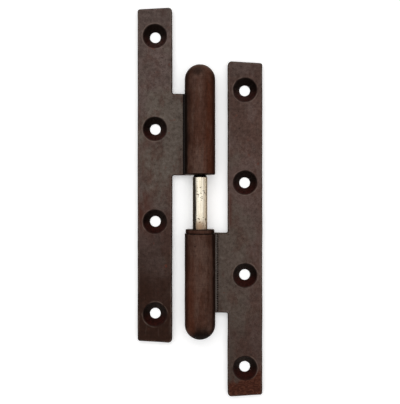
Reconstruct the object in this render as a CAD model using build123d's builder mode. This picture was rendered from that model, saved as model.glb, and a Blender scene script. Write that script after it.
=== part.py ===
"""A lift-off hinge with long strip leaves and round-ended knuckles, in millimetres.

The hinge lies flat on its back, open at 180 degrees. X runs across it, Y along the pin
and Z up from the backs to the fronts. The origin is on the pin's axis, in the plane where
the two halves bear on each other. The socket half stands in line with the pin, lifted
until only the pin's tip is left in its mouth.
"""

import os
from math import radians, sqrt, tan

from build123d import *

# Leaves: two long flat strips, each with a tab that reaches in to its knuckle
leaf_length = 140.0
leaf_width = 14.4
leaf_thickness = 3.0
leaf_end_skew = 0.9
leaf_outer_corner = 1.0
leaf_inner_corner = 1.6
leaf_front_bevel = 0.35
leaf_back_bevel = 0.2
tab_reach = 5.3
tab_root_round = 0.7
socket_tab_length = 34.0
pin_tab_length = 33.3
weld_land = 0.8
seam_bevel = 0.35

# Screw holes: one row on each strip, countersunk from the front
screw_count = 4
screw_end_distance = 12.0
screw_hole_diameter = 4.5
countersink_diameter = 9.6
countersink_angle = 90.0

# Knuckles: turned barrels with one half-round end, bored blind from the flat end
knuckle_diameter = 12.6
knuckle_reach = 45.3
knuckle_rim_bevel = 0.4
drill_point_angle = 118.0
socket_end_room = 1.0
socket_mouth_bevel = 0.4
pin_bore_bevel = 0.3

# Pin and bearing ring
pin_diameter = 6.0
pin_exposed = 22.7
pin_seat_length = 20.0
pin_tip_bevel_length = 1.4
pin_tip_bevel_depth = 0.95
pin_foot_bevel = 0.5
ring_thickness = 1.65
ring_setback = 0.35
ring_edge_bevel = 0.25
running_clearance = 0.05

# How the halves stand: this much of the pin's tip is left in the socket's mouth
tip_left_in = 0.3

# Sizes that follow from the ones above
knuckle_radius = knuckle_diameter / 2
pin_radius = pin_diameter / 2
socket_bore_radius = pin_radius + running_clearance
back_level = -knuckle_radius
front_level = back_level + leaf_thickness
strip_inner = knuckle_radius + tab_reach
strip_outer = strip_inner + leaf_width
strip_middle = (strip_inner + strip_outer) / 2
screw_pitch = (leaf_length - 2 * screw_end_distance) / (screw_count - 1)
tab_tip = sqrt(knuckle_radius**2 - (knuckle_radius - weld_land) ** 2)
seam_foot = sqrt(knuckle_radius**2 - (front_level - seam_bevel) ** 2)
seam_edge = sqrt(knuckle_radius**2 - front_level**2) + seam_bevel
pin_knuckle_top = -ring_thickness
socket_level = pin_exposed - tip_left_in


def build_leaf(side, middle, tab_start, tab_end):
    """One leaf: a strip at side +1 or -1 of the pin, centred on middle along the pin.

    Its tab runs from tab_start to tab_end and is coped to the knuckle's round side, so
    that it tucks in under the knuckle with both backs in one plane.
    """
    half_inner = leaf_length / 2
    half_outer = half_inner - leaf_end_skew
    inner = side * strip_inner
    outer = side * strip_outer
    outline = [
        (outer, middle + half_outer),
        (inner, middle + half_inner),
        (inner, tab_end),
        (side * tab_tip, tab_end),
        (side * tab_tip, tab_start),
        (inner, tab_start),
        (inner, middle - half_inner),
        (outer, middle - half_outer),
    ]
    with BuildPart() as leaf:
        with BuildSketch(Plane.XY.offset(back_level)) as plan:
            with BuildLine():
                Polyline(*outline, close=True)
            make_face()
            # The tab's four corners lie nearest to the middle, and its roots furthest out
            corners = plan.vertices().sort_by(lambda corner: abs(corner.Y - middle))
            tab_roots = corners[:4].sort_by(lambda corner: abs(corner.X))[2:]
            fillet(tab_roots, radius=tab_root_round)
            # The strip's four end corners lie furthest from the middle
            corners = plan.vertices().sort_by(lambda corner: abs(corner.Y - middle))
            end_corners = corners[-4:].sort_by(lambda corner: abs(corner.X))
            fillet(end_corners[2:], radius=leaf_outer_corner)
            corners = plan.vertices().sort_by(lambda corner: abs(corner.Y - middle))
            fillet(corners[-2:], radius=leaf_inner_corner)
        extrude(amount=leaf_thickness)

        # The outer edges are broken all round, more on the front than on the back
        flats = leaf.faces().filter_by(Axis.Z).sort_by(Axis.Z)
        chamfer(flats[-1].edges(), length=leaf_front_bevel)
        flats = leaf.faces().filter_by(Axis.Z).sort_by(Axis.Z)
        chamfer(flats[0].edges(), length=leaf_back_bevel)

        # The cope takes the knuckle's round out of the tab, with a small bevel at the seam
        with BuildSketch(Plane.XZ.offset(-middle)):
            Circle(knuckle_radius)
            with BuildLine():
                Polyline(
                    (0, front_level),
                    (side * seam_edge, front_level),
                    (side * seam_foot, front_level - seam_bevel),
                    (0, front_level - seam_bevel),
                    close=True,
                )
            make_face()
        extrude(amount=leaf_length, both=True, mode=Mode.SUBTRACT)

        with Locations((side * strip_middle, middle, front_level)):
            with GridLocations(leaf_width, screw_pitch, 1, screw_count):
                CounterSinkHole(
                    radius=screw_hole_diameter / 2,
                    counter_sink_radius=countersink_diameter / 2,
                    counter_sink_angle=countersink_angle,
                )
    return leaf


def build_knuckle(mouth, tip, bore_radius, bore_depth, bore_bevel):
    """A barrel about the pin's axis, flat at mouth and half-round at tip, with a blind bore.

    The bore runs in from the mouth to its full depth and ends in the cone that a drill leaves.
    """
    sense = 1 if tip > mouth else -1
    shoulder = tip - sense * knuckle_radius
    bore_end = mouth + sense * bore_depth
    bore_point = bore_end + sense * bore_radius / tan(radians(drill_point_angle / 2))
    with BuildPart() as knuckle:
        with BuildSketch(Plane.XY):
            with BuildLine():
                Polyline((0, tip), (0, mouth), (knuckle_radius, mouth), (knuckle_radius, shoulder))
                CenterArc((0, shoulder), knuckle_radius, 0, sense * 90)
            make_face()
        revolve(axis=Axis.Y)
        with BuildSketch(Plane.XY):
            with BuildLine():
                Polyline(
                    (0, mouth),
                    (bore_radius, mouth),
                    (bore_radius, bore_end),
                    (0, bore_point),
                    close=True,
                )
            make_face()
        revolve(axis=Axis.Y, mode=Mode.SUBTRACT)

        # The mouth is the only flat face: its shorter rim is the bore's, its longer the barrel's
        flat_end = knuckle.faces().filter_by(GeomType.PLANE).sort_by(Axis.Y)[0]
        rims = flat_end.edges().sort_by(SortBy.LENGTH)
        chamfer(rims[0], length=bore_bevel)
        flat_end = knuckle.faces().filter_by(GeomType.PLANE).sort_by(Axis.Y)[0]
        rims = flat_end.edges().sort_by(SortBy.LENGTH)
        chamfer(rims[-1], length=knuckle_rim_bevel)
    return knuckle


# Pin half: its leaf lies to the right, and its tab stands level with the knuckle's top
pin_leaf = build_leaf(
    side=1,
    middle=0,
    tab_start=pin_knuckle_top - pin_tab_length,
    tab_end=pin_knuckle_top,
)
pin_leaf.part.label = "pin_leaf"

pin_knuckle = build_knuckle(
    mouth=pin_knuckle_top,
    tip=-knuckle_reach,
    bore_radius=pin_radius,
    bore_depth=pin_seat_length,
    bore_bevel=pin_bore_bevel,
)
pin_knuckle.part.label = "pin_knuckle"

# Hinge pin: a plain steel rod, pressed into the pin half's knuckle, with a bevelled tip
pin_foot = pin_knuckle_top - pin_seat_length
with BuildPart() as hinge_pin:
    with BuildSketch(Plane.XY):
        with BuildLine():
            Polyline(
                (0, pin_foot),
                (pin_radius - pin_foot_bevel, pin_foot),
                (pin_radius, pin_foot + pin_foot_bevel),
                (pin_radius, pin_exposed - pin_tip_bevel_length),
                (pin_radius - pin_tip_bevel_depth, pin_exposed),
                (0, pin_exposed),
                close=True,
            )
        make_face()
    revolve(axis=Axis.Y)
hinge_pin.part.label = "hinge_pin"

# Bearing ring: the loose washer on the pin that carries the socket half
ring_radius = knuckle_radius - ring_setback
ring_hole_radius = pin_radius + running_clearance
with BuildPart() as bearing_ring:
    with BuildSketch(Plane.XZ.offset(ring_thickness)):
        Circle(ring_radius)
        Circle(ring_hole_radius, mode=Mode.SUBTRACT)
    extrude(amount=-ring_thickness)
    ring_rims = bearing_ring.edges().filter_by(GeomType.CIRCLE).sort_by(SortBy.RADIUS)[-2:]
    chamfer(ring_rims, length=ring_edge_bevel)
bearing_ring.part.label = "bearing_ring"

# Socket half: its leaf lies to the left, and its tab ends level with the knuckle's mouth
socket_leaf = build_leaf(
    side=-1,
    middle=socket_level,
    tab_start=socket_level,
    tab_end=socket_level + socket_tab_length,
)
socket_leaf.part.label = "socket_leaf"

socket_knuckle = build_knuckle(
    mouth=socket_level,
    tip=socket_level + knuckle_reach,
    bore_radius=socket_bore_radius,
    bore_depth=pin_exposed + socket_end_room,
    bore_bevel=socket_mouth_bevel,
)
socket_knuckle.part.label = "socket_knuckle"

os.makedirs("parts", exist_ok=True)
export_step(pin_leaf.part, "parts/pin_leaf.step")
export_step(pin_knuckle.part, "parts/pin_knuckle.step")
export_step(hinge_pin.part, "parts/hinge_pin.step")
export_step(bearing_ring.part, "parts/bearing_ring.step")
export_step(socket_leaf.part, "parts/socket_leaf.step")
export_step(socket_knuckle.part, "parts/socket_knuckle.step")
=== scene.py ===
# %% [markdown]
# # A lift-off hinge, dressed for a photograph
# The hinge is two long flat leaves, each joined to a turned barrel that is called a knuckle.
# One knuckle carries a bare steel pin with a loose ring, the other has a hole for the pin.
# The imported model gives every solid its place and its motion. This script gives each one a
# finer surface of the same form, a finish, and then a floor, light and camera.

from types import SimpleNamespace

import bmesh
import bpy
import numpy as np
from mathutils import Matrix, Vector
from mathutils.geometry import delaunay_2d_cdt


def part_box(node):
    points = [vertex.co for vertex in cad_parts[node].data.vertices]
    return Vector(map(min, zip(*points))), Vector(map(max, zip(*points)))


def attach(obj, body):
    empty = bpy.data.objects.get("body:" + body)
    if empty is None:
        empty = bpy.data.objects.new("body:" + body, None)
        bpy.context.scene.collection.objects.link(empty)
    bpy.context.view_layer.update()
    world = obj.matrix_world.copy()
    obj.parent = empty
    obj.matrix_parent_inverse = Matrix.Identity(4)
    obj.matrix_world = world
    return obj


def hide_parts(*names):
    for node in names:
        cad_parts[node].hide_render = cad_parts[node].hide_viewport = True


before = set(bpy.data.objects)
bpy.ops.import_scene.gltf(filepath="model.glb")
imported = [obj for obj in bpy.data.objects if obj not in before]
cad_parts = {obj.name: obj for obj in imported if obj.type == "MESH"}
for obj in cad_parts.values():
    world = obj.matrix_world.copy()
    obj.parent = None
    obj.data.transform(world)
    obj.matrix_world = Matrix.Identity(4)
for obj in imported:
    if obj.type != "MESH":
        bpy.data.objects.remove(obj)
scene = bpy.context.scene
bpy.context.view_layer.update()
print("solids:", sorted(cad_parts))

# %% [markdown]
# ## The sizes that the surfaces share
# All lengths are in millimetres and become metres only when a mesh is made. Most come from
# the solids' boxes, so that each finer surface lies where its solid is. The pin's axis is Y,
# and the leaves lie flat with their fronts up.


# %% Sizes
def box_in_mm(node):
    """The lowest and the highest corner of a solid at rest."""
    return [[round(value * 1000, 2) for value in corner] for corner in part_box(node)]


leaf_low, leaf_high = box_in_mm("pin_leaf")
knuckle_low, knuckle_high = box_in_mm("pin_knuckle")
socket_low, socket_high = box_in_mm("socket_knuckle")
pin_low, pin_high = box_in_mm("hinge_pin")
ring_low, ring_high = box_in_mm("bearing_ring")

back, front = leaf_low[2], leaf_high[2]
leaf_length = 140.0
strip_width = 14.4
strip_outer = leaf_high[0]
strip_inner = strip_outer - strip_width
strip_middle = strip_outer - strip_width / 2
tab_tip = leaf_low[0]
hole_spacing = 38.6667
barrel_radius = knuckle_high[0]
pin_radius = pin_high[0]
running_clearance = 0.05
pin_mouth, socket_mouth = knuckle_high[1], socket_low[1]
pin_tab_length, socket_tab_length = 33.3, 34.0
pin_tab = (pin_mouth - pin_tab_length, pin_mouth)
socket_tab = (socket_mouth, socket_mouth + socket_tab_length)
pin_middle, socket_middle = 0.0, socket_mouth
print("plate:", back, front, "strip:", strip_inner, strip_outer, "tab tip:", tab_tip)
print("knuckles:", knuckle_low[1], pin_mouth, socket_mouth, socket_high[1], "pin:", pin_high[1])

# %% [markdown]
# ## From points to a mesh
# Every surface here is a grid: rows of points, joined to the next row by four-sided faces.
# Where a row shrinks to one point, as at a dome's end, its doubles are merged, so that the
# surface closes. Faces are turned outwards last, because a grid doesn't know its outside.


# %% Mesh helpers
def grid_faces(rows, columns):
    """Four-sided faces that join point (i, j) to its neighbours (i+1, j) and (i, j+1), with
    the last row joined back to the first."""
    starts = np.arange(rows)[:, None] * columns
    here = starts + np.arange(columns - 1)
    there = np.roll(starts, -1, 0) + np.arange(columns - 1)
    return np.stack([here, there, there + 1, here + 1], axis=-1).reshape(-1, 4)


def make_piece(name, points, face_groups, marks=None):
    """A closed, smooth, outward-facing mesh from points in millimetres.

    face_groups are arrays of faces, each with its own number of corners. marks are named
    numbers for each point, which a finish can read as attributes.
    """
    mesh = bpy.data.meshes.new(name)
    faces = [face for group in face_groups for face in group.tolist()]
    mesh.from_pydata(points / 1000.0, [], faces)
    for mark, values in (marks or {}).items():
        layer = mesh.attributes.new(mark, "FLOAT", "POINT")
        layer.data.foreach_set("value", np.asarray(values, np.float32).ravel())
    shell = bmesh.new()
    shell.from_mesh(mesh)
    bmesh.ops.remove_doubles(shell, verts=shell.verts, dist=1.5e-6)
    bmesh.ops.dissolve_degenerate(shell, edges=shell.edges, dist=1e-7)
    bmesh.ops.recalc_face_normals(shell, faces=shell.faces)
    shell.to_mesh(mesh)
    open_edges = sum(1 for edge in shell.edges if not edge.is_manifold)
    shell.free()
    mesh.shade_smooth()
    piece = bpy.data.objects.new(name, mesh)
    scene.collection.objects.link(piece)
    print(name, len(mesh.polygons), "faces,", open_edges, "open edges")
    return piece


def swell(places, wavelength, seed):
    """Smooth unevenness between about -1 and 1: a sum of 7 sine waves, each with its own
    direction and start, whose lengths lie round the given one."""
    pick = np.random.default_rng(seed)
    ways = pick.normal(size=(7, places.shape[-1]))
    ways /= np.linalg.norm(ways, axis=1, keepdims=True)
    lengths = wavelength * pick.uniform(0.7, 1.6, 7)
    starts = pick.uniform(0, 2 * np.pi, 7)
    phase = places @ (ways / lengths[:, None]).T * 2 * np.pi + starts
    return np.sin(phase).sum(-1) / 4.0


# %% [markdown]
# ## The outline of a leaf
# A leaf is cut from plate, so its shape is an outline, a chain of straight runs and arcs. It
# is sampled as points with the direction that faces out at each one, because the rounded
# edge is later carried along this path. Filing by hand leaves the edge a few hundredths of a
# millimetre uneven, and that is added here.

# %% Outline
end_skew = 0.9
outer_corner, inner_corner, tab_root, tab_corner = 1.0, 1.6, 0.7, 0.65
run_step = 0.7


def leaf_outline(middle, tab, seed):
    """Points and outward directions, counter-clockwise round a leaf on the +X side.

    Each corner is replaced by an arc that touches both of its runs: it starts at the radius
    times tan(half of the turn) before the corner. Runs get points run_step apart.
    """
    half = leaf_length / 2
    corners = np.array(
        [
            (strip_outer, middle + half - end_skew),
            (strip_inner, middle + half),
            (strip_inner, tab[1]),
            (tab_tip, tab[1]),
            (tab_tip, tab[0]),
            (strip_inner, tab[0]),
            (strip_inner, middle - half),
            (strip_outer, middle - half + end_skew),
        ]
    )
    radii = [outer_corner, inner_corner, tab_root, tab_corner]
    radii = np.array(radii + radii[::-1])
    before, after = np.roll(corners, 1, 0), np.roll(corners, -1, 0)
    come = (corners - before) / np.linalg.norm(corners - before, axis=1)[:, None]
    go = (after - corners) / np.linalg.norm(after - corners, axis=1)[:, None]
    sign = np.sign(come[:, 0] * go[:, 1] - come[:, 1] * go[:, 0])
    turn = np.arccos(np.clip((come * go).sum(1), -1, 1))
    reach = (radii * np.tan(turn / 2))[:, None]
    arc_start, arc_end = corners - come * reach, corners + go * reach
    points, outs = [], []
    for corner in range(len(corners)):
        start_out = np.array([come[corner, 1], -come[corner, 0]])
        sideways = np.array([-start_out[1], start_out[0]])
        bend = sign[corner] * np.linspace(0, 1, 9)[:, None] * turn[corner]
        out = start_out * np.cos(bend) + sideways * np.sin(bend)
        points.append(arc_start[corner] + sign[corner] * radii[corner] * (out - start_out))
        outs.append(out)
        run = arc_start[(corner + 1) % len(corners)] - arc_end[corner]
        steps = max(2, int(np.linalg.norm(run) / run_step))
        share = np.linspace(0, 1, steps)[1:-1, None]
        points.append(arc_end[corner] + share * run)
        run_out = np.array([[go[corner, 1], -go[corner, 0]]])
        outs.append(np.repeat(run_out, len(share), 0))
    points, outs = np.concatenate(points), np.concatenate(outs)
    uneven = 0.05 * swell(points, 21.0, seed) + 0.02 * swell(points, 6.0, 9)
    return points + outs * uneven[:, None], outs


print("outline points:", len(leaf_outline(pin_middle, pin_tab, 6)[0]))

# %% [markdown]
# ## The edge and the screw holes
# The rounded edge is a small profile, up from the back, over the wall and on to the front,
# carried along the outline. Each screw hole is a profile turned about its own axis: a
# softened rim, the cone that the screw's head sits in, with the faint rings that the cutter
# left, and the straight hole below. A sculpted block could give the same shape, but the
# profiles keep every radius a number that can be changed.

# %% Profiles of edge and hole
back_round, front_round = 0.2, 0.4
flat_margin = 0.14
sink_rim, rim_round = 4.95, 0.3
cutter_ring_height, cutter_ring_rate = 0.025, 14.0
hole_radius = 2.25


def edge_profile():
    """(how far in, height) pairs from the back, up the wall, to the front: a quarter round, a
    straight wall and a larger quarter round. A first and a last point lie a little further
    in, on the flats, so that the flats shade flat."""
    low = np.linspace(0, np.pi / 2, 5)
    high = np.linspace(0, np.pi / 2, 9)
    wall = np.linspace(back + back_round, front - front_round, 14)[1:-1]
    inset = [[back_round + flat_margin], back_round * (1 - np.sin(low)), 0 * wall]
    inset += [front_round * (1 - np.cos(high)), [front_round + flat_margin]]
    height = [[back], back + back_round * (1 - np.cos(low)), wall]
    height += [front - front_round * (1 - np.sin(high)), [front]]
    return np.concatenate(inset), np.concatenate(height)


def sink_profile():
    """(radius, height) pairs down a countersunk hole: a softened rim, a cone of 45 degrees
    whose wall carries rings as a sine of the radius, the hole, and a softened back edge."""
    rim = np.linspace(0, np.pi / 4, 5)
    rim_radius = sink_rim - rim_round * np.sin(rim)
    rim_height = front - rim_round * (1 - np.cos(rim))
    cone_radius = np.linspace(rim_radius[-1], hole_radius + 0.05, 40)[1:]
    cone_height = rim_height[-1] - (rim_radius[-1] - cone_radius)
    cone_height = cone_height + cutter_ring_height * np.sin(cone_radius * cutter_ring_rate)
    straight_radius = hole_radius + np.array([0, 0, 0, 0.15, 0.3])
    straight_height = back + np.array([0.37, 0.2, 0.12, 0, 0])
    radius = np.concatenate([[sink_rim + 0.15], rim_radius, cone_radius, straight_radius])
    height = np.concatenate([[front], rim_height, cone_height, straight_height])
    return radius, height


print("profile points:", len(edge_profile()[0]), "and", len(sink_profile()[0]))

# %% [markdown]
# ## The flat fields
# The front and back are flat fields between the edge and the holes, filled with small
# triangles. One large face each would do, but then the plate's slight bow, which is added
# later, would have no points to move.


# %% Flat fields
def inside(points, ring):
    """True where a point lies in a ring: a ray to the right crosses it 1, 3, 5... times."""
    start, end = ring, np.roll(ring, -1, 0)
    x, y = points[:, 0][:, None], points[:, 1][:, None]
    spans = (start[:, 1] > y) != (end[:, 1] > y)
    with np.errstate(divide="ignore", invalid="ignore"):
        slope = (end[:, 0] - start[:, 0]) / (end[:, 1] - start[:, 1])
        cut = start[:, 0] + (y - start[:, 1]) * slope
    return (np.sum(spans & (x < cut), axis=1) % 2) == 1


def nearest(points, samples):
    """The distance from each point to the nearest sample, in blocks, to save memory."""
    blocks = np.array_split(points, 40)
    gaps = [((block[:, None, :] - samples[None]) ** 2).sum(-1).min(1) for block in blocks]
    return np.sqrt(np.concatenate(gaps))


def outside_holes(points, centres, radius):
    """True where a point is further from every hole's centre than the radius."""
    away = np.sqrt(((points[:, None, :] - centres[None]) ** 2).sum(-1))
    return (away > radius - 1e-4).all(1)


def fill_field(rings, centres, radius, level, spacing=0.8):
    """Triangles over a flat field between closed rings of points.

    The rings are fixed edges of a triangulation, and even rows of points are spread in
    between. Triangles whose middle lies outside the first ring or in a hole are dropped.
    """
    outer, borders = rings[0], np.concatenate(rings)
    low, high = outer.min(0), outer.max(0)
    xs, ys = np.meshgrid(*(np.arange(low[k], high[k], spacing) for k in (0, 1)))
    xs = xs + 0.5 * spacing * (np.arange(len(ys))[:, None] % 2)
    inner = np.stack([xs.ravel(), ys.ravel()], 1)
    inner = inner[inside(inner, outer)]
    inner = inner[outside_holes(inner, centres, radius)]
    inner = inner[nearest(inner, borders) > 0.45 * spacing]
    edges, start = [], 0
    for ring in rings:
        place = np.arange(len(ring))
        edges.append(start + np.stack([place, (place + 1) % len(ring)], 1))
        start += len(ring)
    places = [Vector(point) for point in np.concatenate([borders, inner])]
    fixed = np.concatenate(edges).tolist()
    found, _, triangles, *_ = delaunay_2d_cdt(places, fixed, [], 0, 1e-6)
    found = np.array([tuple(point) for point in found])
    triangles = np.array([tuple(triangle) for triangle in triangles])
    middle = found[triangles].mean(1)
    keep = inside(middle, outer) & outside_holes(middle, centres, radius)
    return np.column_stack([found, np.full(len(found), level)]), triangles[keep]


# %% [markdown]
# ## Fitting the leaf to its knuckle
# The tab is hollowed to the round of the knuckle and tucks in under it. On the grid that is
# one rule: no point comes nearer to the pin's axis than the knuckle's surface at its height.
# Later the parts are bowed by a few hundredths, as rolled plate is, and each point is marked
# with its distance to an edge and its place in a screw hole's cone, for the finish to follow.

# %% Parts of a leaf
turn = np.linspace(0, 2 * np.pi, 96, endpoint=False)
circle = np.stack([np.cos(turn), np.sin(turn)], 1)
seam_bevel, seam_foot, seam_edge = 0.35, 5.135, 5.717


def with_height(flat, height):
    """A grid of flat places, each column of it at its own height."""
    level = np.broadcast_to(height[None, :, None], flat.shape[:2] + (1,))
    return np.concatenate([flat, level], axis=2)


def cope(points):
    """Moves points out to the knuckle's round: x is at least the square root of radius
    squared less height squared, with a small bevel just under the front."""
    z = points[..., 2]
    least = np.sqrt(np.clip(barrel_radius**2 - z**2, 0, None)) + 0.01
    bevel = np.interp(z, [front - seam_bevel, front], [seam_foot, seam_edge])
    least = np.where(z > front - seam_bevel, np.maximum(least, bevel), least)
    points[..., 0] = np.maximum(points[..., 0], least)
    return points


def leaf_edge(ring, out):
    """The edge profile carried along the outline: each column lies further in, by its own
    inset, along the outward direction, and at its own height."""
    inset, height = edge_profile()
    flat = ring[:, None, :] - inset[None, :, None] * out[:, None, :]
    return cope(with_height(flat, height))


def screw_hole(centre):
    """The sink profile turned about the hole's axis: the centre plus r cos a and r sin a."""
    radius, height = sink_profile()
    return with_height(centre + radius[None, :, None] * circle[:, None, :], height)


def hole_marks():
    """For each point of a hole: 1 within its cone, which the finish paints dark as shade, and 1
    on the cone's lower side, which the finish paints lighter as lit.
    """
    radius = sink_profile()[0]
    within = np.tile(np.clip((sink_rim - 0.03 - radius) / 0.12, 0, 1), len(turn))
    lower = np.repeat(0.5 - 0.5 * np.sin(turn), len(radius))
    return np.stack([within, lower], 1)


def leaf_flats(edge, centres):
    """The front and the back, between the innermost points of the edge and of the holes."""
    radius = sink_profile()[0]
    groups = []
    for column, around_hole, level in ((-1, radius[0], front), (0, radius[-1], back)):
        border = edge[:, column, :2]
        step = np.linalg.norm(border - np.roll(border, 1, 0), axis=1)
        border = border[step > 1e-5]
        rings = [border] + [centre + around_hole * circle for centre in centres]
        points, triangles = fill_field(rings, centres, around_hole, level)
        groups.append((points, triangles, np.zeros((len(points), 2))))
    return groups


# %% [markdown]
# ## Joining the parts of a leaf
# Edge, holes and flats are joined into one mesh, and their shared borders are merged. The
# socket half's leaf is the same form mirrored, with its tab in another place.


# %% Build the leaves
def edge_distance(points, ring, centres):
    """Each point's distance to the nearest edge or hole on its own side of the plate."""
    flat = points[:, :2]
    rims = [centre + (sink_rim - 0.1) * circle for centre in centres]
    mouths = [centre + (hole_radius + 0.25) * circle for centre in centres]
    from_front = nearest(flat, np.concatenate([ring] + rims))
    from_back = nearest(flat, np.concatenate([ring] + mouths))
    return np.where(points[:, 2] > back + 0.09, from_front, from_back)


def bow(flat, seed, dents):
    """How far the front is out of flat: swells of 46 and 11 mm, less the dents, each as its
    depth times exp(-distance squared / size squared)."""
    height = 0.035 * swell(flat, 46.0, seed) + 0.012 * swell(flat, 11.0, 31)
    for x, y, size, deep in dents:
        away = (flat[:, 0] - x) ** 2 + (flat[:, 1] - y) ** 2
        height = height - deep * np.exp(-away / size**2)
    return height


def build_leaf(name, side, middle, tab, dents):
    """A whole leaf from its edge, its four holes and its two flat fields. The bow is full at
    the front and fades to nothing at the back."""
    ring, out = leaf_outline(middle, tab, 5 + side)
    along = middle + hole_spacing * (np.arange(4) - 1.5)
    centres = np.stack([np.full(4, strip_middle), along], 1)
    edge = leaf_edge(ring, out)
    groups = [(edge.reshape(-1, 3), grid_faces(*edge.shape[:2]), np.zeros((edge[..., 0].size, 2)))]
    for centre in centres:
        hole = screw_hole(centre)
        groups.append((hole.reshape(-1, 3), grid_faces(*hole.shape[:2]), hole_marks()))
    groups += leaf_flats(edge, centres)

    starts = np.cumsum([0] + [len(points) for points, _, _ in groups])
    faces = [faces + start for (_, faces, _), start in zip(groups, starts)]
    sink, lower = np.concatenate([marks for _, _, marks in groups]).T
    points = np.concatenate([points for points, _, _ in groups])
    near = edge_distance(points, ring, centres)
    raised = np.clip((points[:, 2] - back) / (front - back), 0, 1)
    points[:, 2] += bow(points[:, :2], 21 + side, dents) * raised
    points[:, 0] *= side
    marks = {"rim_distance": near, "sink": sink, "sink_lit_side": lower}
    return make_piece(name, points, faces, marks)


pin_dents = [(22.0, 12.0, 1.2, 0.05), (13.4, 30.0, 0.8, 0.06)]
socket_dents = [(15.5, 1.0, 1.5, 0.05)]
pin_side_leaf = build_leaf("pin_leaf_plate", 1, pin_middle, pin_tab, pin_dents)
socket_side_leaf = build_leaf("socket_leaf_plate", -1, socket_middle, socket_tab, socket_dents)
for plate, node, body in (
    (pin_side_leaf, "pin_leaf", "pin_half"),
    (socket_side_leaf, "socket_leaf", "socket_half"),
):
    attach(plate, body)
    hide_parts(node)

# %% [markdown]
# ## Turned pieces
# The knuckles, the ring and the pin are made on a lathe, so each is one profile turned about
# the pin's axis. Arcs replace the model's small bevels where the real edge is soft. The
# barrels are a hundredth of a millimetre out of true here and there.


# %% Turned pieces
def turn_profile(radius, along, segments, uneven, seed):
    """A surface of revolution about Y: (r cos a, y, r sin a) for each profile point and
    angle, with the radius swelling by the given amount."""
    angle = np.linspace(0, 2 * np.pi, segments, endpoint=False)[:, None]
    x, z = radius * np.cos(angle), radius * np.sin(angle)
    y = np.broadcast_to(along, x.shape)
    lumps = swell(np.stack([x, y, z], -1), 9.0, seed) * uneven
    scale = 1 + lumps / np.maximum(radius, 1.0)
    points = np.stack([x * scale, y, z * scale], -1)
    return points.reshape(-1, 3), grid_faces(segments, len(radius))


def arc(centre_radius, centre_along, size, start, end, count=9):
    """Profile points on a circle, from one angle to another in degrees; 0 points away from
    the axis and 90 along +Y."""
    angle = np.radians(np.linspace(start, end, count))
    return centre_radius + size * np.cos(angle), centre_along + size * np.sin(angle)


def turned_piece(name, profile, node, body, slot, segments=144, uneven=0.0, seed=0):
    """Makes a turned piece that stands for one solid and rides on its body."""
    points, faces = turn_profile(*profile, segments, uneven, seed)
    piece = make_piece(name, points, [faces])
    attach(piece, body)
    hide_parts(node)
    return piece


# %% Knuckles
barrel_rim = 0.4
pin_bore_round, socket_bore_round = 0.3, 0.4
drill_half_angle = 59


def knuckle_profile(mouth, tip, bore, depth, bore_round):
    """The half section of a knuckle: dome, barrel, softened rim, flat mouth, bore and the
    cone at the bore's end. It is worked out from the mouth and then laid along Y."""
    sense = 1.0 if tip > mouth else -1.0
    shoulder = abs(tip - mouth) - barrel_radius
    side = np.linspace(shoulder, barrel_rim, 60)[1:-1]
    deep = np.linspace(bore_round, depth, 8)[1:]
    point = depth + bore / np.tan(np.radians(drill_half_angle))
    runs = (
        arc(0, shoulder, barrel_radius, 90, 0, 30),
        (0 * side + barrel_radius, side),
        arc(barrel_radius - barrel_rim, barrel_rim, barrel_rim, 0, -90),
        arc(bore + bore_round, bore_round, bore_round, -90, -180),
        (0 * deep + bore, deep),
        ([0], [point]),
    )
    radius, along = (np.concatenate(values) for values in zip(*runs))
    return np.maximum(radius, 0), mouth + sense * along


socket_bore = pin_radius + running_clearance
socket_depth = pin_high[1] + 1.0
pin_seat = pin_mouth - pin_low[1]
barrel = {"slot": "browned_knuckle", "uneven": 0.02}
profile = knuckle_profile(pin_mouth, knuckle_low[1], pin_radius, pin_seat, pin_bore_round)
pin_barrel = turned_piece(
    "pin_knuckle_barrel", profile, "pin_knuckle", "pin_half", seed=3, **barrel
)
socket_end = socket_high[1]
profile = knuckle_profile(socket_mouth, socket_end, socket_bore, socket_depth, socket_bore_round)
socket_barrel = turned_piece(
    "socket_knuckle_barrel", profile, "socket_knuckle", "socket_half", seed=4, **barrel
)

# %% [markdown]
# ## The pin and the ring
# The pin is a plain rod. Its tip is bevelled so that it finds the socket's hole, and the
# bevel's edges are a little rounded by use. The ring is a washer with softened edges: it
# takes the rubbing, so that the knuckles don't wear.


# %% Pin and ring
def pin_profile():
    """The pin's half section: flat foot with a bevel, straight side, bevelled tip."""
    foot, top = pin_low[1], pin_high[1]
    side = np.linspace(foot + 1.65, top - 1.6, 60)
    foot_radius = pin_radius - np.array([pin_radius, 0.5, 0])
    foot_along = foot + np.array([0, 0, 0.5])
    tip_radius = pin_radius - np.array([0.01, 0.05, 0.85, 0.95, 1.05, pin_radius])
    tip_along = top - np.array([1.42, 1.28, 0.15, 0.04, 0, 0])
    radius = np.concatenate([foot_radius, 0 * side + pin_radius, tip_radius])
    return radius, np.concatenate([foot_along, side, tip_along])


def ring_profile():
    """The ring's closed section: outer wall with softened edges, both flats, and the hole."""
    edge, lip = 0.25, 0.1
    wall, hole, bottom = ring_high[0] - edge, socket_bore + lip, ring_low[1]
    runs = (
        arc(wall, -edge, edge, 90, 0, 6),
        arc(wall, bottom + edge, edge, 0, -90, 6),
        arc(hole, bottom + lip, lip, -90, -180, 4),
        arc(hole, -lip, lip, 180, 90, 4),
        ([wall], [0.0]),
    )
    radius, along = (np.concatenate(values) for values in zip(*runs))
    return radius, along


pin_rod = turned_piece("pin_rod", pin_profile(), "hinge_pin", "pin_half", "bright_steel", 96)
washer = turned_piece("ring_washer", ring_profile(), "bearing_ring", "ring", "browned_ring")
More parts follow.
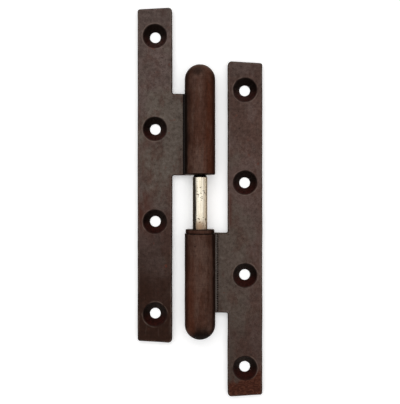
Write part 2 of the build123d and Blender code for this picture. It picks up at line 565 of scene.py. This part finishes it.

# %% [markdown]
# ## The weld seams
# Each leaf is joined to its knuckle along the edge of the tab. The joint shows as a thin
# uneven bead in the corner between them, with a ripple every millimetre or so and a dark
# line of painted shade where it meets the plate. A bead is an oval carried along the corner,
# whose size changes with the ripples and shrinks to nothing at both ends.

# %% Weld beads
bead_centre, bead_height = 6.0, 0.42
ripple_length = 0.93


def weld_bead(name, side, ends, reach, body, seed):
    """An oval section carried along Y in the corner of tab and knuckle: its half width and
    half height are scaled by 1 + ripples, and by a rounded fall at both ends."""
    y = np.linspace(ends[0] + 0.25, ends[1] - 0.25, 420)
    share = (y - y[0]) / (y[-1] - y[0])
    fall = np.sqrt(np.clip(1 - np.abs(2 * share - 1) ** 40, 0, 1))
    wander = swell(y[:, None], 7.0, seed)
    ripple = 0.5 + 0.5 * np.sin(2 * np.pi * (y / ripple_length + 0.22 * wander))
    wide = reach * (1 + 0.10 * wander + 0.07 * ripple) * fall
    tall = bead_height * (1 + 0.10 * wander + 0.10 * ripple) * fall
    angle = np.linspace(0, 2 * np.pi, 28, endpoint=False)[:, None]
    x = bead_centre + wide * np.cos(angle)
    z = front + 0.04 + tall * np.sin(angle)
    points = np.stack([side * x, np.broadcast_to(y, x.shape), z], -1).reshape(-1, 3)
    # toe marks where the finish paints shade, in the crevice where the bead meets the plate, less
    # on the crowns.
    toe = np.clip(np.cos(angle), 0, 1) ** 4 * (1 - 0.75 * ripple)
    bead = make_piece(name, points, [grid_faces(len(angle), len(y))], {"toe": toe})
    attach(bead, body)
    return bead


pin_weld = weld_bead("pin_weld", 1, pin_tab, 1.15, "pin_half", 8)
socket_weld = weld_bead("socket_weld", -1, socket_tab, 0.7, "socket_half", 12)

# %% [markdown]
# ## Building a finish from nodes
# A finish is a small tree of nodes: noise of several sizes is mixed into colour, roughness
# and relief. A node's output is wrapped, so that it can be added and multiplied like a number
# and each layer below reads as one line.


# %% Finish helpers
class Value:
    """A node's output, for which each sum, difference or product adds a node."""

    def __init__(self, tree, socket):
        self.tree = tree
        self.socket = socket

    def __add__(self, other):
        return calc("ADD", self, other)

    def __sub__(self, other):
        return calc("SUBTRACT", self, other)

    def __rsub__(self, other):
        return calc("SUBTRACT", other, self)

    def __mul__(self, other):
        return calc("MULTIPLY", self, other)

    def __abs__(self):
        return calc("ABSOLUTE", self)


def add_node(tree, kind, inputs=None, **settings):
    """Adds a node. An input is a number, a colour or a Value."""
    node = tree.nodes.new(kind)
    for key, setting in settings.items():
        setattr(node, key, setting)
    for key, given in (inputs or {}).items():
        if isinstance(given, Value):
            tree.links.new(given.socket, node.inputs[key])
        else:
            node.inputs[key].default_value = given
    return node


def add(tree, kind, inputs=None, output=0, **settings):
    """Adds a node and gives one of its outputs."""
    return Value(tree, add_node(tree, kind, inputs, **settings).outputs[output])


def calc(operation, *operands):
    """One step of arithmetic between Values and numbers."""
    tree = next(item.tree for item in operands if isinstance(item, Value))
    return add(tree, "ShaderNodeMath", dict(enumerate(operands)), operation=operation)


def between(value, low, high):
    """0 at low, 1 at high, and a soft rise in between."""
    ends = {"Value": value, "From Min": low, "From Max": high}
    return add(value.tree, "ShaderNodeMapRange", ends, interpolation_type="SMOOTHSTEP")


def tint(share, under, over, way="MIX"):
    """Lays a colour over another, as far as share says."""
    colours = {0: share, 6: under, 7: over}
    return add(share.tree, "ShaderNodeMix", colours, 2, data_type="RGBA", blend_type=way)


def srgb(red, green, blue):
    """A colour seen as 0 to 255 on a screen, as the linear value that a shader takes."""
    seen = np.array([red, green, blue]) / 255.0
    linear = np.where(seen <= 0.04045, seen / 12.92, ((seen + 0.055) / 1.055) ** 2.4)
    return (*[float(value) for value in linear], 1.0)


print("a mid brown:", [round(value, 4) for value in srgb(80, 68, 64)])

# %% [markdown]
# ## Places and patches
# Places are read in the object's own coordinates, turned into millimetres, so that a patch of
# 7 mm is written as 7 and stays on the metal when the hinge moves. Almost every layer is a
# cloud of noise, cut off at a low and a high value so that it makes patches, and stretched
# where the real marks run one way.


# %% Places and patches
def start_finish(name, shift=0.0):
    """An empty finish with its shader, and the places on it in millimetres. shift gives it
    other spots than the rest."""
    finish = bpy.data.materials.new(name)
    finish.use_nodes = True
    tree = finish.node_tree
    own = add(tree, "ShaderNodeTexCoord", output="Object")
    place = add(tree, "ShaderNodeMapping", {"Vector": own, "Scale": (1000, 1000, 1000)})
    axes = add_node(tree, "ShaderNodeSeparateXYZ", {0: place}).outputs
    x, y, z = [Value(tree, axis) for axis in axes]
    where = SimpleNamespace(place=place, x=x, y=y, z=z, beside=abs(x), shift=shift)
    return finish, tree.nodes["Principled BSDF"], where


def patches(where, size, low, high, layer, stretch=(1, 1, 1), detail=3.0, rough=0.55):
    """Cloudy patches of about the given size in millimetres, from 0 to 1. low and high are
    the noise values at which a patch starts and is full. layer is a number that gives each
    layer other spots than the rest."""
    tree, shift = where.place.tree, where.shift + layer
    spot = {"Vector": where.place, "Location": (shift, shift * 1.7, shift * 0.6), "Scale": stretch}
    spot = add(tree, "ShaderNodeMapping", spot)
    grain = {"Vector": spot, "Scale": 1.0 / size, "Detail": detail, "Roughness": rough}
    return between(add(tree, "ShaderNodeTexNoise", grain), low, high)


def mark(where, name):
    """A number that the mesh carries at each point."""
    return add(where.place.tree, "ShaderNodeAttribute", output="Fac", attribute_name=name)


def shade(shader, colour, rough, height, distance, strength):
    """Gives the shader its colour, its roughness and a relief too small to be modelled."""
    heights = {"Height": height, "Distance": distance, "Strength": strength}
    normal = add(height.tree, "ShaderNodeBump", heights)
    for name, value in (("Base Color", colour), ("Roughness", rough), ("Normal", normal)):
        height.tree.links.new(value.socket, shader.inputs[name])


def dress(piece, finish):
    """Puts a finish on a piece."""
    piece.data.materials.append(finish)
    print(finish.name, len(finish.node_tree.nodes), "nodes")


# %% [markdown]
# ## The browned leaves
# The plate has an old dark brown finish. Seen close it is a warm grey-brown with greener
# clouds round the tab and redder streaks, deeper towards both ends. Over that lie a fine
# mottle, patches where rust shows through, small specks and pits. Each is one layer below. A
# painted picture could hold them too, but noise stays sharp at any distance and can be set
# apart for each leaf.


# %% Tones of a leaf
def base_tones(where, look):
    """Three tones: warm, greenish round the tab, and red in streaks, most of them near red_at
    along Y, with some dull patches. Returns the colour, the red share and the streaks."""
    roam = patches(where, 14, 0.3, 0.7, 0, detail=5)
    tab_off = abs(where.y - (look.seam.start + look.seam.end) / 2)
    tab_near = tab_off * -0.014 + where.beside * -0.06
    colour = tint(between(tab_near + roam, -1.25, -0.45), look.warm_tone, look.green_tone)
    red_near = between(abs(where.y - look.red_at), 30.0, 6.0)
    streaks = patches(where, 9, 0.0, 1.0, 40, (1, 0.45, 1), detail=7, rough=0.7)
    red = between(streaks + red_near * 0.09, 0.48, 0.68)
    colour = tint(red * 0.6, colour, look.red_tone)
    dull = patches(where, 6, 0.5, 0.72, 51, detail=5)
    return tint(dull * 0.35, colour, srgb(54, 45, 40)), red, streaks


def deeper_ends(where, look, colour):
    """Turns the colour to a darker brown between warm_from and warm_to along Y, and makes it
    a little deeper near the upper end."""
    drift = patches(where, 16, 0.2, 0.8, 9)
    along = where.y + calc("MULTIPLY_ADD", drift, 22.0, -11.0)
    warm = between(along, look.warm_from, look.warm_to) * look.warm_share
    colour = tint(warm, colour, srgb(44, 25, 18))
    deep = between(along, look.upper_end - 24.0, look.upper_end - 10.0)
    return tint(deep, colour, (0.8, 0.82, 0.82, 1), "MULTIPLY")


def plate_grain(where, colour):
    """The fine layers: mottle, paler bloom, grain and dots, then a few pale strokes along the
    plate. Returns the colour, the mottle and the grain."""
    mottle = patches(where, 1.5, 0.34, 0.66, 3, detail=6, rough=0.7)
    bloom = patches(where, 3.2, 0.52, 0.72, 27, detail=5, rough=0.65)
    grain = patches(where, 0.3, 0.35, 0.65, 5, detail=2)
    dots = patches(where, 0.12, 0.45, 0.7, 6, detail=1)
    for share, tone in (
        (mottle, (0.7, 0.67, 0.65, 1)),
        (bloom, (1.24, 1.27, 1.28, 1)),
        (grain, (0.8, 0.78, 0.76, 1)),
        (dots, (0.84, 0.83, 0.82, 1)),
    ):
        colour = tint(share, colour, tone, "MULTIPLY")
    strokes = patches(where, 1.1, 0.6, 0.72, 7, (1.0, 0.12, 1), detail=3)
    return tint(strokes * 0.1, colour, srgb(110, 98, 92)), mottle, grain


# %% Rust on a leaf
def rust_marks(where, look, colour):
    """Rust that shows through in streaks round one place on the strip, small specks all over,
    and dark pits. Returns the colour and the pits."""
    zone = look.rust_zone
    across = between(abs(where.beside - zone.across), zone.width, 0.2 * zone.width)
    along = between(abs(where.y - zone.along), zone.length, 0.5 * zone.length)
    through = patches(where, 4.5, 0.34, 0.62, 33, (1, 0.35, 1), detail=5)
    colour = tint(across * along * through * 0.8, colour, srgb(62, 32, 24))
    specks = patches(where, 3.4, 0.64, 0.76, 11, detail=4, rough=0.65)
    colour = tint(specks * 0.7, colour, srgb(86, 40, 28))
    pits = patches(where, 0.9, 0.72, 0.77, 17, detail=1)
    return tint(pits * 0.7, colour, srgb(24, 16, 13)), pits


def rusty_end(where, look, colour):
    """A rusty lower end whose border climbs on the strip's outer side, with swirled ripples:
    the sine of a slow cloud. Returns the colour and the ripples' height."""
    border = where.y + patches(where, 3.0, 0.3, 0.7, 23) * 4.0
    border = border + (where.beside - strip_middle) * -0.4
    rusty = between(border, look.rusty_below + 3.6, look.rusty_below - 0.6)
    swirl = patches(where, 5.5, 0.0, 1.0, 25, (0.8, 1.5, 1), detail=2.5)
    lines = calc("MULTIPLY_ADD", calc("SINE", swirl * 46.0), 0.5, 0.5)
    ripples = lines * patches(where, 1.1, 0.25, 0.65, 29, detail=4, rough=0.7)
    rust = tint(ripples, srgb(49, 21, 13), srgb(79, 44, 32))
    return tint(rusty, colour, rust), ripples * rusty * 2.2


# %% [markdown]
# ## Edges, weld line and screw holes
# These marks follow the shape, so they read the numbers that the mesh carries. The edges have
# a thin dark line of painted shade with worn, paler metal beside it. The cones of the screw
# holes are painted almost black as shade, with a painted lit red-brown on their lower sides.
# Along the weld runs a black line of painted shade, which on the pin half is broken into
# dashes by the bead's ripples.


# %% Marks that follow the shape
def seam_shade_line(where, streaks, seam):
    """1 on the dark line of painted shade in the corner beside the knuckle, along a weld's toe:
    between two distances from the pin's axis, on the front, within the tab's length, and
    broken into uneven dashes as far as broken says."""
    band = between(where.beside, seam.inner - 0.15, seam.inner + 0.1)
    band = band * between(where.beside, seam.outer + 0.15, seam.outer - 0.1)
    span = between(where.y, seam.start, seam.start + 0.4)
    span = span * between(where.y, seam.end, seam.end - 0.4)
    span = span * between(where.z, front - 0.6, front - 0.3)
    beat = calc("SINE", calc("MULTIPLY_ADD", where.y, 6.6, streaks * 5.0))
    return band * span * (1.0 - between(beat, -0.2, 0.7) * seam.broken)


def edges_and_sinks(where, look, colour, streaks):
    """Worn lines along the edges, painted shade on the side walls, edges and hole rims, the
    weld line of painted shade, and the cones painted dark as shade with a painted lit lower side.
    """
    near = mark(where, "rim_distance") - patches(where, 2.4, 0.3, 0.7, 2) * 0.16
    worn = between(near, 0.8, 0.36) * patches(where, 6, 0.42, 0.6, 31)
    colour = tint(worn * 0.35, colour, srgb(112, 96, 88))
    # Painted shade: the side walls, rounded edges and hole rims are darkened, as if in shade.
    colour = tint(between(near, 0.34, 0.14) * 0.8, colour, srgb(22, 13, 11))
    # Painted shade: a black line in the corner under the knuckle's side, in dashes on the pin half.
    colour = tint(seam_shade_line(where, streaks, look.seam), colour, srgb(6, 2, 2))
    # Painted light and shade: the cones are near black as shade, with a lit red-brown on their
    # lower sides.
    sink_lit_mottle = calc("MULTIPLY_ADD", patches(where, 1.2, 0.3, 0.7, 37, detail=4), 0.6, 0.4)
    lower = between(mark(where, "sink_lit_side"), 0.3, 0.95) * sink_lit_mottle
    cone = tint(lower, srgb(9, 2, 1), srgb(48, 15, 11))
    return tint(mark(where, "sink"), colour, cone)


# %% Leaf finish
def leaf_finish(name, look):
    """The browned finish of one leaf, layer over layer, as look says."""
    finish, shader, where = start_finish(name, look.shift)
    colour, red, streaks = base_tones(where, look)
    colour = deeper_ends(where, look, colour)
    colour, mottle, grain = plate_grain(where, colour)
    colour, pits = rust_marks(where, look, colour)
    height = mottle * 0.4 - pits + grain * 0.25
    if look.rusty_below is not None:
        colour, ripples = rusty_end(where, look, colour)
        height = height + ripples
    colour = edges_and_sinks(where, look, colour, streaks)
    rough = mottle * 0.14 + 0.38 + red * 0.06
    shade(shader, colour, rough, height, 0.00003, 0.6)
    shader.inputs["Metallic"].default_value = 0.4
    shader.inputs["Specular IOR Level"].default_value = 0.16
    shader.inputs["Specular Tint"].default_value = (0.88, 0.68, 0.57, 1)
    return finish


pin_leaf_look = SimpleNamespace(
    shift=0.0,
    warm_tone=srgb(88, 72, 68),
    green_tone=srgb(86, 76, 70),
    red_tone=srgb(77, 54, 47),
    upper_end=pin_middle + leaf_length / 2,
    red_at=38.0,
    warm_from=-20.0,
    warm_to=-58.0,
    warm_share=0.4,
    rust_zone=SimpleNamespace(across=strip_inner, width=2.6, along=8.0, length=9.0),
    rusty_below=-61.0,
    seam=SimpleNamespace(start=pin_tab[0], end=pin_tab[1], inner=7.15, outer=7.65, broken=0.8),
)
socket_leaf_look = SimpleNamespace(
    shift=60.0,
    warm_tone=srgb(87, 74, 71),
    green_tone=srgb(90, 82, 76),
    red_tone=srgb(75, 50, 43),
    upper_end=socket_middle + leaf_length / 2,
    red_at=8.0,
    warm_from=20.0,
    warm_to=-36.0,
    warm_share=1.0,
    rust_zone=SimpleNamespace(across=strip_outer, width=9.5, along=17.0, length=28.0),
    rusty_below=None,
    seam=SimpleNamespace(start=socket_tab[0], end=socket_tab[1], inner=6.0, outer=7.15, broken=0.0),
)
dress(pin_side_leaf, leaf_finish("browned_plate_pin_side", pin_leaf_look))
dress(socket_side_leaf, leaf_finish("browned_plate_socket_side", socket_leaf_look))

# %% [markdown]
# ## The browned knuckles
# The knuckles took the same finish on turned steel, and it came out redder and smoother.
# Streaks run along the barrel, and it is orange-brown where the finish is thin. Its crest is
# painted greyer as a highlight, and its low sides and limbs are painted darker as shade. The
# domes have a dull dark patch, which on the pin knuckle's lower end is painted shade. The
# socket's barrel is painted black as shade beside its weld, and the mouths are painted dark
# as shade where the parts meet.


# %% Tones of a knuckle
def barrel_tones(where, look):
    """Streaks along Y, a painted highlight that makes the crest of the barrel greyer, painted
    shade that makes it darkest low on its sides, on its limbs and at the mouth, and
    orange-brown on the thin side. Returns the colour and the streaks."""
    streak = patches(where, 2.4, 0.35, 0.65, 0, (1, 0.10, 1), detail=4)
    cloud = patches(where, 8, 0.38, 0.66, 13, detail=4)
    # Painted light and shade: the barrel is dark low down and grows paler and greyer with height,
    # up to a painted highlight on its crest.
    crest = where.z + streak * 1.6 + cloud * -1.4
    colour = tint(streak, srgb(22, 10, 7), srgb(36, 18, 12))
    colour = tint(between(crest, 2.4, 5.6), colour, srgb(75, 49, 39))
    colour = tint(between(crest, 4.6, 7.2) * 0.85, colour, srgb(88, 68, 60))
    colour = tint(cloud * 0.3, colour, srgb(60, 34, 26))
    thin = between(where.x * look.thin_side + streak * 1.6, 1.4, 4.6)
    thin = thin * between(where.y, look.thin_from, look.thin_to)
    colour = tint(thin * 0.6, colour, srgb(86, 42, 24))
    # Painted shade: a dark band at the mouth, where the parts meet.
    mouth_shade = between(abs(where.y - look.mouth), 0.55, 0.2)
    colour = tint(mouth_shade, colour, srgb(13, 7, 5))
    # Painted shade: the sides of the barrel, as seen from above, are darkened.
    limb = between(where.beside, 3.8, 6.0)
    return tint(limb, colour, (0.5, 0.42, 0.38, 1), "MULTIPLY"), streak


def barrel_grain(where, colour):
    """Fine marks along the barrel, the lathe's rings round it, dots, mottle and paler bloom.
    Returns the colour, the fine marks and the rings."""
    fine = patches(where, 0.5, 0.3, 0.7, 5, (1, 0.35, 1), detail=3)
    colour = tint(fine * 0.3, colour, srgb(30, 15, 10))
    rings = patches(where, 0.3, 0.35, 0.65, 9, (0.06, 1, 0.06), detail=3)
    colour = tint(rings, colour, (0.86, 0.84, 0.82, 1), "MULTIPLY")
    dots = patches(where, 0.14, 0.42, 0.7, 6, detail=2)
    colour = tint(dots, colour, (0.8, 0.78, 0.76, 1), "MULTIPLY")
    mottle = patches(where, 1.6, 0.42, 0.66, 8, (1, 0.6, 1), detail=6, rough=0.7)
    colour = tint(mottle * 0.3, colour, srgb(38, 20, 14))
    bloom = patches(where, 2.2, 0.5, 0.7, 15, (1, 0.4, 1), detail=5, rough=0.65)
    return tint(bloom * 0.2, colour, srgb(110, 84, 72)), fine, rings


def dark_places(where, look, streak):
    """1 where the barrel is painted black and dull as shade: round one spot, as far as its depth
    says, and beside the weld."""
    size, weld = look.spot_size, look.weld
    ends = {0: where.place, 1: look.spot}
    away = add(where.place.tree, "ShaderNodeVectorMath", ends, "Value", operation="DISTANCE")
    # Painted shade round the spot; on the pin knuckle it darkens the dome's lower end.
    dark = between(away + streak * (0.2 * size), 1.5 * size, 0.6 * size) * look.spot_depth
    if weld is not None:
        # Painted shade: the barrel's side in the corner beside the weld is blackened.
        weld_side_shade = between(where.x * weld.side, 4.8, 5.5)
        weld_side_shade = weld_side_shade * between(where.y, weld.start, weld.start + 0.5)
        weld_side_shade = weld_side_shade * between(where.y, weld.end + 1.0, weld.end - 2.0)
        dark = calc("MAXIMUM", dark, weld_side_shade * 0.95)
    return dark


# %% Knuckle finish
def knuckle_finish(name, look):
    """Red-brown satin. Where painted shade makes it dark, it is also rougher and less metallic,
    so that it doesn't mirror the white paper."""
    finish, shader, where = start_finish(name, look.shift)
    colour, streak = barrel_tones(where, look)
    colour, fine, rings = barrel_grain(where, colour)
    dark = dark_places(where, look, streak)
    # The painted shade from dark_places darkens the colour here.
    colour = tint(dark, colour, srgb(10, 3, 1))
    specks = patches(where, 1.3, 0.71, 0.77, 19, detail=2)
    colour = tint(specks * 0.8, colour, srgb(26, 13, 9))
    rough = streak * 0.10 + 0.36 + fine * 0.06 + dark * 0.25
    shade(shader, colour, rough, fine * 0.4 - specks + rings * 0.4, 0.00002, 0.5)
    metal = (1.0 - dark) * 0.45
    metal.tree.links.new(metal.socket, shader.inputs["Metallic"])
    shader.inputs["Specular IOR Level"].default_value = 0.06
    shader.inputs["Specular Tint"].default_value = (0.9, 0.7, 0.58, 1)
    return finish


pin_barrel_look = SimpleNamespace(
    shift=0.0,
    thin_side=-1.0,
    thin_from=-2.0,
    thin_to=-30.0,
    # The spot is painted shade on the lower end of the dome.
    spot=(0.4, -44.4, 3.2),
    spot_size=5.4,
    spot_depth=0.96,
    mouth=pin_mouth,
    weld=None,
)
socket_barrel_look = SimpleNamespace(
    shift=35.0,
    thin_side=1.0,
    thin_from=78.0,
    thin_to=52.0,
    spot=(-1.2, 64.1, 5.5),
    spot_size=2.2,
    spot_depth=0.55,
    mouth=socket_mouth,
    weld=SimpleNamespace(side=-1.0, start=socket_tab[0], end=socket_tab[1]),
)
washer_look = SimpleNamespace(
    shift=80.0,
    thin_side=1.0,
    thin_from=50.0,
    thin_to=60.0,
    spot=(0.0, -1.5, 8.0),
    spot_size=1.5,
    spot_depth=0.9,
    mouth=0.1,
    weld=None,
)
dress(pin_barrel, knuckle_finish("browned_barrel_pin_side", pin_barrel_look))
dress(socket_barrel, knuckle_finish("browned_barrel_socket_side", socket_barrel_look))
dress(washer, knuckle_finish("browned_washer", washer_look))

# %% [markdown]
# ## The bare pin
# Bare steel is bright and a little yellow with age. It has fine scratches along it, a few
# dark nicks, and a brown stain at the foot, where oil and dust collect above the ring.
# Painted reflections make it nearly black on the left side, tan on the right and dark at its
# outermost edges.


# %% Pin finish
def pin_nicks(where):
    """Small dark nicks, most of them in two stretches along the pin."""
    upper = between(where.y, 10.5, 13.0) * between(where.y, 18.5, 16.5)
    lower = between(where.y, 1.0, 2.0) * between(where.y, 6.5, 4.5)
    grain = {"Vector": where.place, "Scale": 1.5, "Detail": 3.0}
    noise = add(where.place.tree, "ShaderNodeTexNoise", grain)
    return between(noise + (upper + lower) * 0.095, 0.67, 0.72)


def painted_pin_reflections(where, scratch, colour):
    """Painted reflections: nearly black on the left side, tan on the right and dark at the
    outermost edges; and a browned tip.
    """
    # Painted reflection: the left side is darkened to nearly black, the right side tinted tan, and
    # the outermost edges darkened.
    left = between(where.x + scratch * 0.3, -1.25, -1.7)
    colour = tint(left * 0.96, colour, srgb(16, 10, 7))
    right = between(where.x, 1.0, 2.3)
    colour = tint(right, colour, (0.94, 0.85, 0.76, 1), "MULTIPLY")
    colour = tint(between(where.beside, 2.75, 2.95) * 0.8, colour, srgb(30, 20, 15))
    return tint(between(where.y, 21.1, 21.4) * 0.9, colour, srgb(124, 110, 96))


def pin_finish():
    """Bright worn steel: brushed scratches, yellow clouds, nicks, the stain and the painted
    reflections.
    """
    finish, shader, where = start_finish("bare_pin_steel")
    scratch = patches(where, 0.35, 0.3, 0.7, 2.0, (1, 0.04, 1), detail=3)
    colour = tint(scratch, srgb(208, 198, 178), srgb(240, 232, 214))
    cloud = patches(where, 4.0, 0.45, 0.65, 7.0, (1, 0.4, 1))
    colour = tint(cloud * 0.35, colour, srgb(176, 156, 122))
    nicks = pin_nicks(where)
    colour = tint(nicks * 0.9, colour, srgb(66, 52, 42))
    foot = between(where.y + cloud * -2.0, 3.2, -0.6)
    colour = tint(foot * 0.75, colour, srgb(120, 84, 52))
    colour = painted_pin_reflections(where, scratch, colour)
    rough = scratch * 0.08 + 0.21 + foot * 0.2
    shade(shader, colour, rough, scratch * 0.25 - nicks, 0.00002, 0.4)
    shader.inputs["Metallic"].default_value = 1.0
    shader.inputs["Specular Tint"].default_value = (0.75, 0.66, 0.56, 1)
    return finish


dress(pin_rod, pin_finish())

# %% [markdown]
# ## The weld's finish
# The bead is rough metal under the same brown. On the pin half its crowns are a little
# greyer than the plate, on the socket half it is painted near black as shade. The line where
# it meets the plate is painted dark as shade between the ripples.


# %% Weld finish
def weld_finish(name, crown):
    """Crowns of one tone, with painted shade in the gaps along the toe."""
    finish, shader, where = start_finish(name)
    cloud = patches(where, 0.6, 0.3, 0.7, 4.0, detail=4)
    colour = tint(cloud, (*(0.5 * value for value in crown[:3]), 1), crown)
    # Painted shade in the crevice along the toe.
    colour = tint(between(mark(where, "toe"), 0.25, 0.6), colour, srgb(14, 9, 8))
    shade(shader, colour, cloud * 0.15 + 0.5, cloud, 0.00004, 0.6)
    shader.inputs["Specular IOR Level"].default_value = 0.2
    return finish


dress(pin_weld, weld_finish("pin_side_weld", srgb(100, 90, 84)))
# The socket half's bead is painted near black, as shade under the knuckle's side.
dress(socket_weld, weld_finish("socket_side_weld", srgb(14, 7, 5)))

# %% [markdown]
# ## Floor, light and camera
# The hinge lies on white paper that sweeps up on all sides. It is lit from above, a little
# from its upper end, by one broad soft lamp and a pale surrounding that is brightest
# overhead. The paper is white to the camera but keeps the soft grey shadows. The camera
# looks straight down.


# %% Floor
def floor_finish():
    """Lit paper, so that shadows show. To the camera and to polished metal it is white and
    has a little light of its own, to the rest of the light it is grey."""
    finish = bpy.data.materials.new("white_paper")
    finish.use_nodes = True
    tree = finish.node_tree
    tree.nodes.clear()
    path = add_node(tree, "ShaderNodeLightPath").outputs
    camera_ray, through_ray, glossy_ray = [
        Value(tree, path[f"Is {kind} Ray"]) for kind in ("Camera", "Transmission", "Glossy")
    ]
    seen = calc("MAXIMUM", calc("MAXIMUM", camera_ray, through_ray), glossy_ray)
    paper = tint(seen, (0.5, 0.5, 0.5, 1), (0.92, 0.92, 0.92, 1))
    lit = add(tree, "ShaderNodeBsdfDiffuse", {"Color": paper})
    glow = add(tree, "ShaderNodeEmission", {"Strength": seen * 0.25})
    both = add(tree, "ShaderNodeAddShader", {0: lit, 1: glow})
    add_node(tree, "ShaderNodeOutputMaterial", {"Surface": both})
    return finish


def paper_sweep():
    """A floor that curves up into a wall all round: flat to 2.5 m, a quarter circle of 1 m
    radius, and a wall 1.6 m higher, turned about the upright."""
    around = np.linspace(0, 2 * np.pi, 96, endpoint=False)[:, None]
    rise = np.linspace(0, np.pi / 2, 16)
    away = np.concatenate([[0, 300, 1200], 2500 + 1000 * np.sin(rise), [3500]])
    height = np.concatenate([[0, 0, 0], 1000 * (1 - np.cos(rise)), [2600]]) + back - 0.02
    x, y = away * np.cos(around), away * np.sin(around)
    points = np.stack([x, y, np.broadcast_to(height, x.shape)], -1).reshape(-1, 3)
    mesh = bpy.data.meshes.new("paper_sweep")
    mesh.from_pydata(points / 1000.0, [], grid_faces(len(around), len(height)).tolist())
    mesh.shade_smooth()
    mesh.materials.append(floor_finish())
    return bpy.data.objects.new("paper_sweep", mesh)


sweep = paper_sweep()
scene.collection.objects.link(sweep)
print("floor level in mm:", back)


# %% Light
def soft_lamp(name, place, aim, size, power, colour):
    """A square lamp at a place in millimetres, turned to face aim."""
    data = bpy.data.lights.new(name, "AREA")
    data.shape = "SQUARE"
    data.size = size / 1000.0
    data.energy = power
    data.color = colour
    lamp = bpy.data.objects.new(name, data)
    lamp.location = Vector(place) / 1000.0
    lamp.rotation_mode = "QUATERNION"
    lamp.rotation_quaternion = (Vector(aim) - Vector(place)).to_track_quat("-Z", "Y")
    lamp.visible_camera = False
    scene.collection.objects.link(lamp)
    return lamp


def pale_room():
    """A pale surrounding that is brightest overhead and towards the hinge's upper end."""
    world = bpy.data.worlds.new("pale_room")
    world.use_nodes = True
    room = world.node_tree
    room.nodes.clear()
    sight = {0: add(room, "ShaderNodeTexCoord", output="Generated"), 1: (0.08, 0.5, 0.86)}
    towards = add(room, "ShaderNodeVectorMath", sight, "Value", operation="DOT_PRODUCT")
    level = calc("MULTIPLY_ADD", between(towards, 0.1, 0.65), 1.0, 0.25)
    ambient = add(room, "ShaderNodeBackground", {"Color": (1, 1, 1, 1), "Strength": level})
    add_node(room, "ShaderNodeOutputWorld", {"Surface": ambient})
    return world


overhead = soft_lamp("overhead_lamp", (-90, 420, 820), (0, 10, 0), 620, 1.4, (1.0, 0.985, 0.96))
scene.world = pale_room()
scene.view_settings.view_transform = "Standard"
print("lamp height in mm:", round(overhead.location.z * 1000))

# %% Camera
camera_height = 249.2
camera_data = bpy.data.cameras.new("overhead_camera")
camera_data.lens = 54.0
camera_data.sensor_width = 36.0
camera_data.clip_start = 0.01
camera_data.clip_end = 20.0
camera = bpy.data.objects.new("overhead_camera", camera_data)
camera.location = (0.0, (pin_middle + socket_middle) / 2000, camera_height / 1000)
scene.collection.objects.link(camera)
scene.camera = camera
print("camera height above the leaves in mm:", round(camera_height - front, 1))
